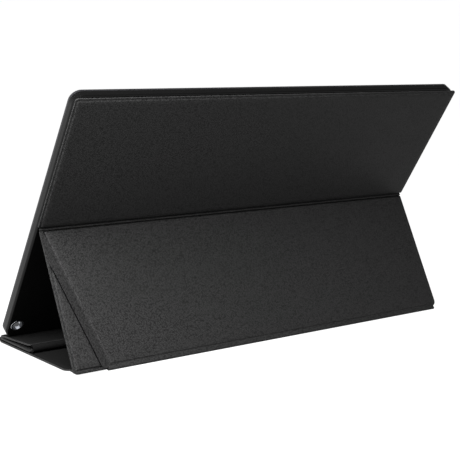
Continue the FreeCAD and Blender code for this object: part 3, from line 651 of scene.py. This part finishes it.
def fold_tree():
    """Geometry nodes that carry a fold's closed side view along the fold, with both ends shut."""
    tree = bpy.data.node_groups.new("fold_sweep", "GeometryNodeTree")
    for name, way, kind in (("Geometry", "INPUT", "Geometry"), ("Run", "INPUT", "Vector"),
                            ("Material", "INPUT", "Material"), ("Geometry", "OUTPUT", "Geometry")):
        tree.interface.new_socket(name, in_out=way, socket_type="NodeSocket" + kind)
    given = add_node(tree, "NodeGroupInput").outputs
    grown = add_node(tree, "GeometryNodeExtrudeMesh", {"mode": "FACES", "Individual": False},
                     {"Mesh": given["Geometry"], "Offset": given["Run"]})
    start = add_node(tree, "GeometryNodeFlipFaces", None, {"Mesh": given["Geometry"]})
    joined = add_node(tree, "GeometryNodeJoinGeometry", None, {"Geometry": start.outputs["Mesh"]})
    link(tree, joined, {"Geometry": grown.outputs["Mesh"]})
    welded = add_node(tree, "GeometryNodeMergeByDistance", {"Distance": WELD},
                      {"Geometry": joined.outputs["Geometry"]})
    plain = add_node(tree, "GeometryNodeRealizeInstances", None, {"Geometry": welded.outputs["Geometry"]})
    painted = add_node(tree, "GeometryNodeSetMaterial", None,
                       {"Geometry": plain.outputs["Geometry"], "Material": given["Material"]})
    add_node(tree, "NodeGroupOutput", None, {"Geometry": painted.outputs["Geometry"]})
    return tree


def band_piece(name, section, run, tree, material, pressed=(), shade_amount=1.0, cuts=()):
    """Soft band at a fold, from the points of its closed side view and the way it runs.

    Pressed holds the numbers of the points that are painted darker as shade, and shade_amount says how
    much.
    Each cut is a point and a direction: what lies beyond the point that way is taken off.
    """
    flat = bpy.data.meshes.new(name + "_section")
    flat.from_pydata(section, [], [list(range(len(section)))])
    # painted shade: the marked points make the leather's colour darker
    mark = flat.attributes.new(PAINTED_SHADE, "FLOAT", "POINT")
    for index in pressed:
        mark.data[index].value = shade_amount
    holder = bpy.data.objects.new(name + "_section", flat)
    bpy.context.scene.collection.objects.link(holder)
    sweep = holder.modifiers.new("sweep", "NODES")
    sweep.node_group = tree
    sockets = {item.name: item.identifier for item in tree.interface.items_tree if item.in_out == "INPUT"}
    sweep[sockets["Run"]] = run
    sweep[sockets["Material"]] = material
    bpy.context.view_layer.update()
    swept = bpy.data.meshes.new_from_object(holder.evaluated_get(bpy.context.evaluated_depsgraph_get()))
    bpy.data.objects.remove(holder)
    made = bmesh.new()
    made.from_mesh(swept)
    for place, beyond in cuts:
        whole = made.verts[:] + made.edges[:] + made.faces[:]
        cut = bmesh.ops.bisect_plane(made, geom=whole, plane_co=place, plane_no=beyond, clear_outer=True)
        rim = [part for part in cut["geom_cut"] if isinstance(part, bmesh.types.BMEdge)]
        bmesh.ops.edgeloop_fill(made, edges=rim)
    return mesh_piece(name, finished_mesh(made, name), material)


def angle_of(direction):
    """Angle of a direction in the side view, in degrees."""
    return math.degrees(math.atan2(direction.z, direction.y))


def arc_points(centre, radius, start, end, steps):
    """Points of an arc in the side view, at X of zero."""
    points = []
    for step in range(steps + 1):
        angle = math.radians(start + (end - start) * step / steps)
        points.append(centre + Vector((0, radius * math.cos(angle), radius * math.sin(angle))))
    return points


def bend_points(before, corner, after, steps):
    """Points of a smooth bend from one place to another round a corner."""
    points = []
    for step in range(steps + 1):
        share = step / steps
        points.append(before * (1 - share) ** 2 + corner * (2 * share * (1 - share)) + after * share ** 2)
    return points


def at(panel, along, height):
    """Place in a panel's frame, at the middle of its width."""
    return panel["frame"] @ Vector((0, along, height))


def lap_place(panel, side, sizes):
    """Outer end of a fold's leather, lapped over a panel's low or high side."""
    inward = 1 if side == "low" else -1
    return at(panel, panel[side] + inward * sizes.lap, sizes.skin + sizes.lap_rise)


def seat_points(panel, side, sizes):
    """Underside of a fold from its lap over a panel, round the panel's edge, to the lining's side."""
    inward = 1 if side == "low" else -1
    edge = panel[side] - inward * sizes.seam_gap
    return [at(panel, panel[side] + inward * sizes.lap, sizes.skin), at(panel, edge, sizes.skin),
            at(panel, edge, -sizes.lining)]


class COVER_OT_panels(bpy.types.Operator):
    """Make the leather and the lining of every stiff panel"""

    bl_idname = "cover.panels"
    bl_label = "Cover panels"

    def execute(self, context):
        sizes = context.scene.cover_sizes
        layers = (
            (1, "skin", bpy.data.materials["polyurethane_leather"], "cover_leather"),
            (-1, "lining", bpy.data.materials["microfibre_lining"], "cover_lining"),
        )
        for name, panel in cover_panels(sizes).items():
            for side, layer, material, slot in layers:
                piece = layer_piece(f"{name}_cover_{layer}", panel, side, sizes, material)
                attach(piece, panel["body"])
                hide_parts(f"{name}_{layer}")
        return {"FINISHED"}


class COVER_OT_folds(bpy.types.Operator):
    """Make the soft leather bands that join the panels"""

    bl_idname = "cover.folds"
    bl_label = "Cover folds"

    def execute(self, context):
        sizes = context.scene.cover_sizes
        leather = bpy.data.materials["polyurethane_leather"]
        lining = bpy.data.materials["microfibre_lining"]
        tree = fold_tree()
        panels = cover_panels(sizes)
        for name, first, first_side, second, second_side, section in self.straight_folds(sizes, panels):
            low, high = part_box(name)
            left, right = low.x, high.x
            material, slot, pressed, cuts = leather, "cover_leather", (), ()
            if name == "mid_fold":  # runs out almost to the panels' sides, with dark lines beside it: real gaps, painted darker as shade
                left -= sizes.edge_margin - sizes.end_inset
                right += sizes.edge_margin - sizes.end_inset
                # painted shade on the webs of those dark lines
                pressed = range(sizes.bend_steps + 1, len(section))
            elif name == "bottom_fold":
                left -= sizes.roll_reach
                cuts = self.roll_end(sizes, panels["prop"])
            elif name == "rear_fold":  # turned inside out, so that its lining shows
                material, slot = lining, "cover_lining"
            points = [point + Vector((left, 0, 0)) for point in section]
            run = Vector((right - left, 0, 0))
            piece = band_piece(f"cover_{name}", points, run, tree, material, pressed, cuts=cuts)
            start = at(panels[first], panels[first][first_side], 0)
            end = at(panels[second], panels[second][second_side], 0)
            self.settle(piece, name, slot, panels[first]["body"], panels[second]["body"], start, end)
        self.diagonal_fold(sizes, panels, tree, leather)
        return {"FINISHED"}

    def roll_end(self, sizes, prop):
        """Cut that slants the far end of the roll at the table, as the prop's corner is rounded."""
        place = prop["frame"] @ Vector((prop["left"] + sizes.roll_inset, prop["high"], 0))
        return ((place, prop["frame"].to_3x3() @ Vector((-1, 1, 0)).normalized()),)

    def straight_folds(self, sizes, panels):
        """Name, panels with their sides, and closed side view of each fold across the cover."""
        upper, prop, spine, floor, lower, over = (
            panels[name] for name in ("upper", "prop", "spine", "floor", "lower_flap", "upper_flap"))
        steps = sizes.bend_steps

        before = at(prop, prop["low"] - sizes.prop_gap, sizes.skin)
        after = at(upper, upper["high"] + sizes.upper_gap, sizes.skin)
        outwards = (prop["out"] + upper["out"]).normalized()
        swell = (before + after) / 2 + outwards * 2 * sizes.bulge  # a bend comes half as far as its corner
        mid = bend_points(before, swell, after, steps)
        gaps = ((upper, upper["high"], sizes.upper_gap), (prop, prop["low"], -sizes.prop_gap))
        for panel, edge, gap in gaps:
            seam = math.copysign(sizes.seam_gap, gap)
            web = [at(panel, edge + gap, -sizes.web), at(panel, edge + seam, -sizes.web),
                   at(panel, edge + seam, -sizes.lining)]
            mid += web if panel is upper else web[::-1]

        hinge = AXIS["bottom_fold_hinge"]
        bottom = [lap_place(spine, "low", sizes)]
        bottom += arc_points(hinge, sizes.roll, angle_of(spine["out"]), angle_of(prop["out"]), steps)
        bottom.append(lap_place(prop, "high", sizes))
        bottom += seat_points(prop, "high", sizes) + seat_points(spine, "low", sizes)[::-1]

        flat = [lap_place(floor, "low", sizes), lap_place(spine, "high", sizes)]
        flat += seat_points(spine, "high", sizes) + seat_points(floor, "low", sizes)[::-1]

        hinge = AXIS["lower_flap_hinge"]
        lift = hinge.z - AXIS["base_unfold"].z
        front = [lap_place(floor, "high", sizes)]  # in the side view 90 degrees is up, 270 and -90 are down
        front += arc_points(hinge, lift + sizes.skin + sizes.lap_rise, 270, 90, steps)
        front.append(lap_place(lower, "low", sizes))
        front += seat_points(lower, "low", sizes)
        front += arc_points(hinge, lift - sizes.lining, 90, 270, steps)
        front += seat_points(floor, "high", sizes)[::-1]

        hinge = AXIS["upper_flap_hinge"]
        bow = hinge.z - AXIS["lower_flap_hinge"].z - lift
        turned = angle_of(-over["out"])
        rear = [seat_points(lower, "high", sizes)[-1]]
        rear += arc_points(hinge, bow + sizes.lining, -90, turned, steps)
        rear += seat_points(over, "low", sizes)[:0:-1]
        rear += arc_points(hinge, bow - sizes.skin, turned, -90, steps)
        rear.append(seat_points(lower, "high", sizes)[1])

        return (
            ("mid_fold", "prop", "low", "upper", "high", mid),
            ("bottom_fold", "spine", "low", "prop", "high", bottom),
            ("spine_fold", "floor", "low", "spine", "high", flat),
            ("front_fold", "floor", "high", "lower_flap", "low", front),
            ("rear_fold", "lower_flap", "high", "upper_flap", "low", rear),
        )

    def diagonal_fold(self, sizes, panels, tree, leather):
        """Flat leather along the diagonal, lapped over both boards' borders and trimmed to the prop."""
        prop, corner = panels["prop"], panels["corner"]
        top, down, across = crease_line(sizes, prop, corner)
        face = sizes.skin + sizes.lap_rise
        reach = sizes.crease_reach - sizes.seam_gap
        wide = sizes.crease_reach + sizes.crease_lap
        profile = [(wide * (2 * step / sizes.bend_steps - 1), face) for step in range(sizes.bend_steps + 1)]
        profile += [(wide, sizes.skin), (reach, sizes.skin), (reach, -sizes.lining),
                    (-reach, -sizes.lining), (-reach, sizes.skin), (-wide, sizes.skin)]
        spare = 4 * wide  # run past both ends of the prop, and cut off there
        start = top - down * wide
        section = []
        for side, height in profile:
            place = start + across * side
            section.append(prop["frame"] @ Vector((place.x, place.y, height)))
        turn = prop["frame"].to_3x3()
        run = turn @ (down * (corner["high"] - prop["low"] + spare)).to_3d()
        along = turn @ Vector((0, 1, 0))
        cuts = (
            (Vector((corner["right"] - sizes.seam_gap, 0, 0)), Vector((1, 0, 0))),
            (at(prop, prop["low"] + sizes.seam_gap, 0), -along),
            (at(prop, corner["high"] - sizes.edge_round, 0), along),
        )
        # painted shade along the whole band, at the crease share
        piece = band_piece("cover_corner_fold", section, run, tree, leather, range(len(profile)),
                           sizes.crease_shade_amount, cuts)
        sides = [top + across * side * sizes.crease_reach for side in (-1, 1)]
        start, end = (prop["frame"] @ place.to_3d() for place in sides)
        self.settle(piece, "corner_fold", "cover_leather", prop["body"], corner["body"], start, end)

    def settle(self, piece, node, slot, first, second, start, end):
        """Bake a band's place into its mesh and hide the CAD piece it replaces."""
        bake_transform(piece)
        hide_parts(node)


class MONITOR_OT_finishes(bpy.types.Operator):
    """Make the materials and give the rigid pieces theirs"""

    bl_idname = "monitor.finishes"
    bl_label = "Monitor finishes"

    def execute(self, context):
        colours = context.scene.finish_colours
        leather_material(colours)
        lining_material(colours)
        for name, finish in FINISHES.items():
            grainy_material(name, finish, colours)
            dress(finish["pieces"], bpy.data.materials[name])
        return {"FINISHED"}


class STUDIO_OT_stage(bpy.types.Operator):
    """Make the floor, the lights and the camera"""

    bl_idname = "studio.stage"
    bl_label = "Studio"

    def execute(self, context):
        settings = context.scene.studio_settings
        self.floor(settings)
        self.walls(context, settings)
        self.lights(context, settings)
        self.camera(context, settings)
        return {"FINISHED"}

    def floor(self, settings):
        """Light table: a level sheet, lit from below, that curves up far behind."""
        made = bmesh.new()
        line = [(FLOOR_HALF, 0), (FLOOR_BACK, 0)]
        for step in range(1, FLOOR_STEPS + 1):
            angle = math.pi / 2 * step / FLOOR_STEPS
            line.append((FLOOR_BACK - FLOOR_BEND * math.sin(angle), FLOOR_BEND * (1 - math.cos(angle))))
        line.append((FLOOR_BACK - FLOOR_BEND, FLOOR_RISE))
        rows = [[made.verts.new((x, y, z)) for x in (-FLOOR_HALF, FLOOR_HALF)] for y, z in line]
        for low, high in zip(rows, rows[1:]):
            made.faces.new((low[0], high[0], high[1], low[1]))
        # Paper lit from behind: even white with hardly any fibre to be seen
        tree, shader, place = start_material("backlit_paper", {
            "Roughness": 0.9, "Specular IOR Level": 0.1, "Emission Color": WHITE,
            "Emission Strength": settings.glow})
        paper = bpy.data.materials["backlit_paper"]
        fibre = add_node(tree, "ShaderNodeTexNoise", {"Scale": 1 / FIBRE, "Detail": 2}, {"Vector": place})
        pale = tuple(settings.floor)
        tint = mix_colours(tree, fibre.outputs["Fac"], shaded(pale, FIBRE_SHADE), pale)
        link(tree, shader, {"Base Color": tint})
        mesh_piece("studio_floor", finished_mesh(made, "studio_floor"), paper)

    def walls(self, context, settings):
        """White walls all round under a dim ceiling."""
        world = bpy.data.worlds.new("studio_walls")
        world.use_nodes = True
        tree = world.node_tree
        tree.nodes.clear()
        way = add_node(tree, "ShaderNodeTexCoord").outputs["Generated"]
        height = add_node(tree, "ShaderNodeSeparateXYZ", None, {"Vector": way})
        strength = add_node(tree, "ShaderNodeMapRange",
                            {"interpolation_type": "SMOOTHSTEP",
                             "From Min": settings.wall_top, "From Max": settings.ceiling_start,
                             "To Min": settings.walls, "To Max": settings.ceiling},
                            {"Value": height.outputs["Z"]})
        light = add_node(tree, "ShaderNodeBackground", {"Color": WHITE},
                         {"Strength": strength.outputs["Result"]})
        add_node(tree, "ShaderNodeOutputWorld", None, {"Surface": light.outputs["Background"]})
        context.scene.world = world

    def lights(self, context, settings):
        """One broad soft light above the near end, which the leaning monitor keeps off its own back."""
        light = bpy.data.lights.new("key_light", "AREA")
        light.shape = "DISK"
        light.size = settings.key_width
        light.energy = settings.key
        lamp = bpy.data.objects.new("key_light", light)
        lamp.visible_glossy = False  # as with a polarising filter, the lamp itself isn't mirrored
        lamp.location = settings.key_place
        aim = Vector(settings.key_aim) - lamp.location
        lamp.rotation_euler = aim.to_track_quat("-Z", "Y").to_euler()
        context.scene.collection.objects.link(lamp)

    def camera(self, context, settings):
        """Camera behind the near end, low, turned slightly about its own axis."""
        lens = bpy.data.cameras.new("camera")
        lens.lens = settings.lens
        camera = bpy.data.objects.new("camera", lens)
        heading = Matrix.Rotation(math.pi - settings.azimuth, 4, "Z")
        tilt = Matrix.Rotation(math.pi / 2 - settings.elevation, 4, "X")
        roll = Matrix.Rotation(settings.roll, 4, "Z")
        camera.matrix_world = Matrix.Translation(settings.camera_place) @ heading @ tilt @ roll
        context.scene.collection.objects.link(camera)
        context.scene.camera = camera
        context.scene.view_settings.view_transform = "Standard"


class MONITOR_PT_sidebar(bpy.types.Panel):
    """Sizes, colours and the steps that make the pieces"""

    bl_label = "Monitor with cover"
    bl_space_type = "VIEW_3D"
    bl_region_type = "UI"
    bl_category = "Monitor"

    def draw(self, context):
        for name, kind in GROUPS.items():
            box = self.layout.box()
            box.label(text=name.replace("_", " ").capitalize())
            for setting in kind.__annotations__:
                box.prop(getattr(context.scene, name), setting)
        for step in STEPS:
            self.layout.operator(step.bl_idname)


GROUPS = {"cover_sizes": CoverSizes, "finish_colours": FinishColours, "studio_settings": StudioSettings}
STEPS = (MONITOR_OT_finishes, COVER_OT_panels, COVER_OT_folds, STUDIO_OT_stage)
CLASSES = (*GROUPS.values(), *STEPS, MONITOR_PT_sidebar)


def register():
    """Register the classes and their settings."""
    for kind in CLASSES:
        bpy.utils.register_class(kind)
    for name, kind in GROUPS.items():
        setattr(bpy.types.Scene, name, PointerProperty(type=kind))


def unregister():
    """Take the settings and the classes away again."""
    for name in GROUPS:
        delattr(bpy.types.Scene, name)
    for kind in reversed(CLASSES):
        bpy.utils.unregister_class(kind)


def main():
    """Make every piece in order."""
    register()
    bpy.ops.monitor.finishes()
    bpy.ops.cover.panels()
    bpy.ops.cover.folds()
    bpy.ops.studio.stage()


if __name__ == "__main__":
    main()
